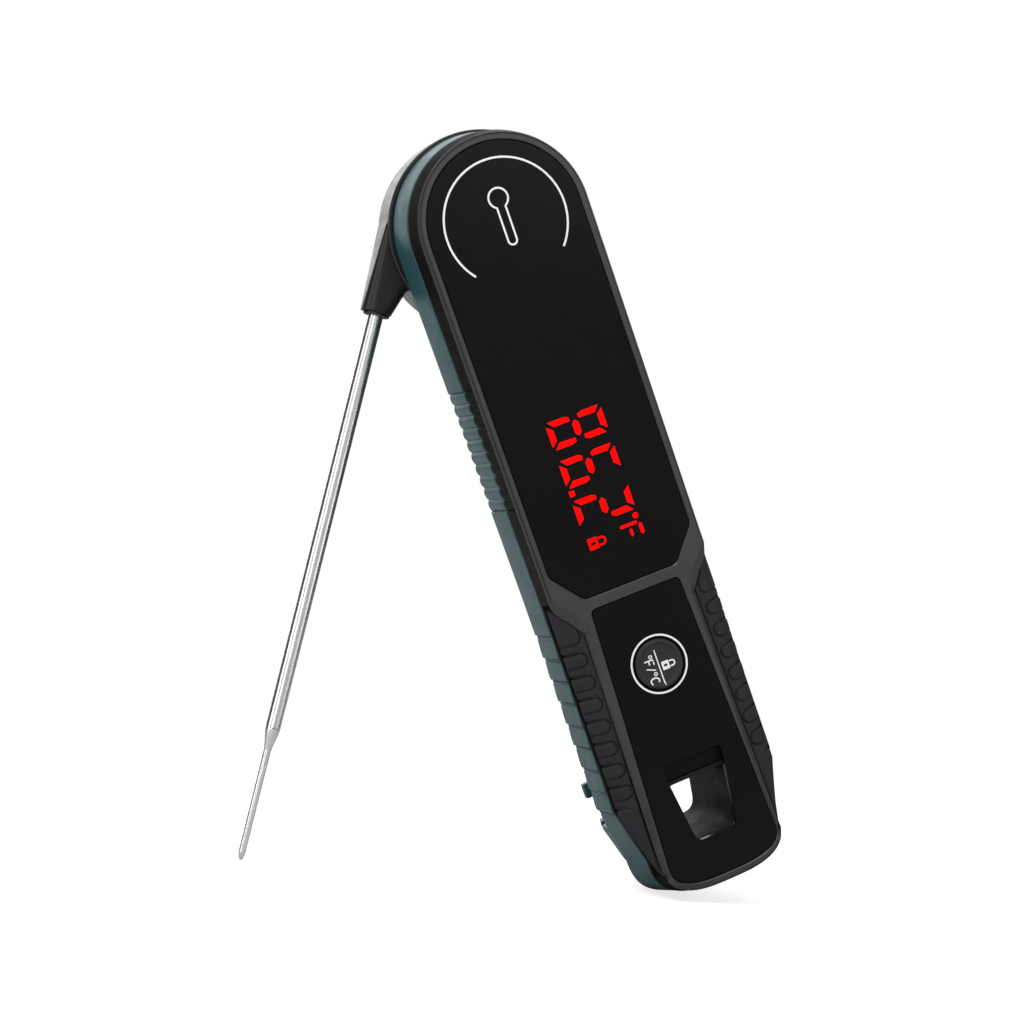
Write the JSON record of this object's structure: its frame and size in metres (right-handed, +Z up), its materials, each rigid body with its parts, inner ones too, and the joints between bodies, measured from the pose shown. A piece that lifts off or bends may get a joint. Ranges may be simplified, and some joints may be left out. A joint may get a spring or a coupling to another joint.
{
  "type": "folding probe thermometer",
  "caption": "Handheld cooking thermometer: slim two-tone case with round head, lit display, button, hanging hole and magnetic back, and a thin steel probe that folds out from a rear hub.",
  "frame": {"origin": "on the flat magnetic back, between the battery cover and the lower magnet, where the thermometer is held to a steel surface", "axes": "+Z up, +Y out of the back towards the surface that holds it, +X to the right seen from the front; the body leans 26 degrees about Y, foot to +X"},
  "size_m": [0.1157, 0.0269, 0.1579],
  "materials": {
    "frame_grey": "satin moulded",
    "case_black": "satin moulded",
    "panel_gloss": "polished, tinted",
    "grip_rubber": "soft matt overmould",
    "case_teal": "satin moulded",
    "hub_grey": "satin moulded",
    "button_rubber": "matt moulded",
    "seal_rubber": "matt",
    "probe_steel": "polished stainless steel",
    "small_steel": "zinc plated or ground",
    "nickel": "nickel plated",
    "cell_wrap": "shrink film",
    "board_green": "solder mask",
    "display_white": "moulded reflector",
    "sealed_glass": "clear",
    "wire_red": "extruded jacket"
  },
  "bodies": {
    "body": {"front_frame": "frame_grey", "display_window": "panel_gloss", "lower_panel": "panel_gloss", "front_shell": "case_black", "grip_left": "grip_rubber", "grip_right": "grip_rubber", "rear_shell": "case_teal", "case_gasket": "seal_rubber", "battery_cell": "cell_wrap", "battery_contact": "nickel", "battery_spring": "nickel", "circuit_board": "board_green", "display_module": "display_white", "dome_switch": "small_steel", "button_seal": "seal_rubber", "reed_switch": "sealed_glass", "hanging_hole_liner": "frame_grey", "probe_clip": "case_teal", "magnet_1": "nickel", "magnet_2": "nickel", "case_screw_1": "small_steel", "case_screw_2": "small_steel", "case_screw_3": "small_steel", "case_screw_4": "small_steel", "pivot_axle": "small_steel", "retaining_clip": "small_steel"},
    "probe": {"probe_hub": "hub_grey", "hub_cover": "hub_grey", "wake_magnet": "nickel", "friction_spring": "small_steel", "pivot_o_ring": "seal_rubber", "probe_tube": "probe_steel", "probe_tip": "probe_steel", "probe_collar": "probe_steel", "sensor_bead": "sealed_glass", "sensor_lead": "wire_red"},
    "button": {"button_cap": "button_rubber"},
    "cover": {"battery_cover": "case_teal", "cover_screw": "small_steel", "cover_seal": "seal_rubber"}
  },
  "joints": [
    {"name": "probe_fold", "type": "hinge", "parent": "body", "child": "probe", "pos_m": [-0.04483, -0.0053, 0.09162], "axis": [0, 1, 0], "range_deg": [-34.3, 145.7]},
    {"name": "button_press", "type": "slide", "parent": "body", "child": "button", "axis": [0, 1, 0], "range_m": [0, 0.0006], "stiffness_N_per_m": 600, "springref_m": -0.001},
    {"name": "cover_lift", "type": "slide", "parent": "body", "child": "cover", "axis": [0, 1, 0], "range_m": [0, 0.02]}
  ]
}
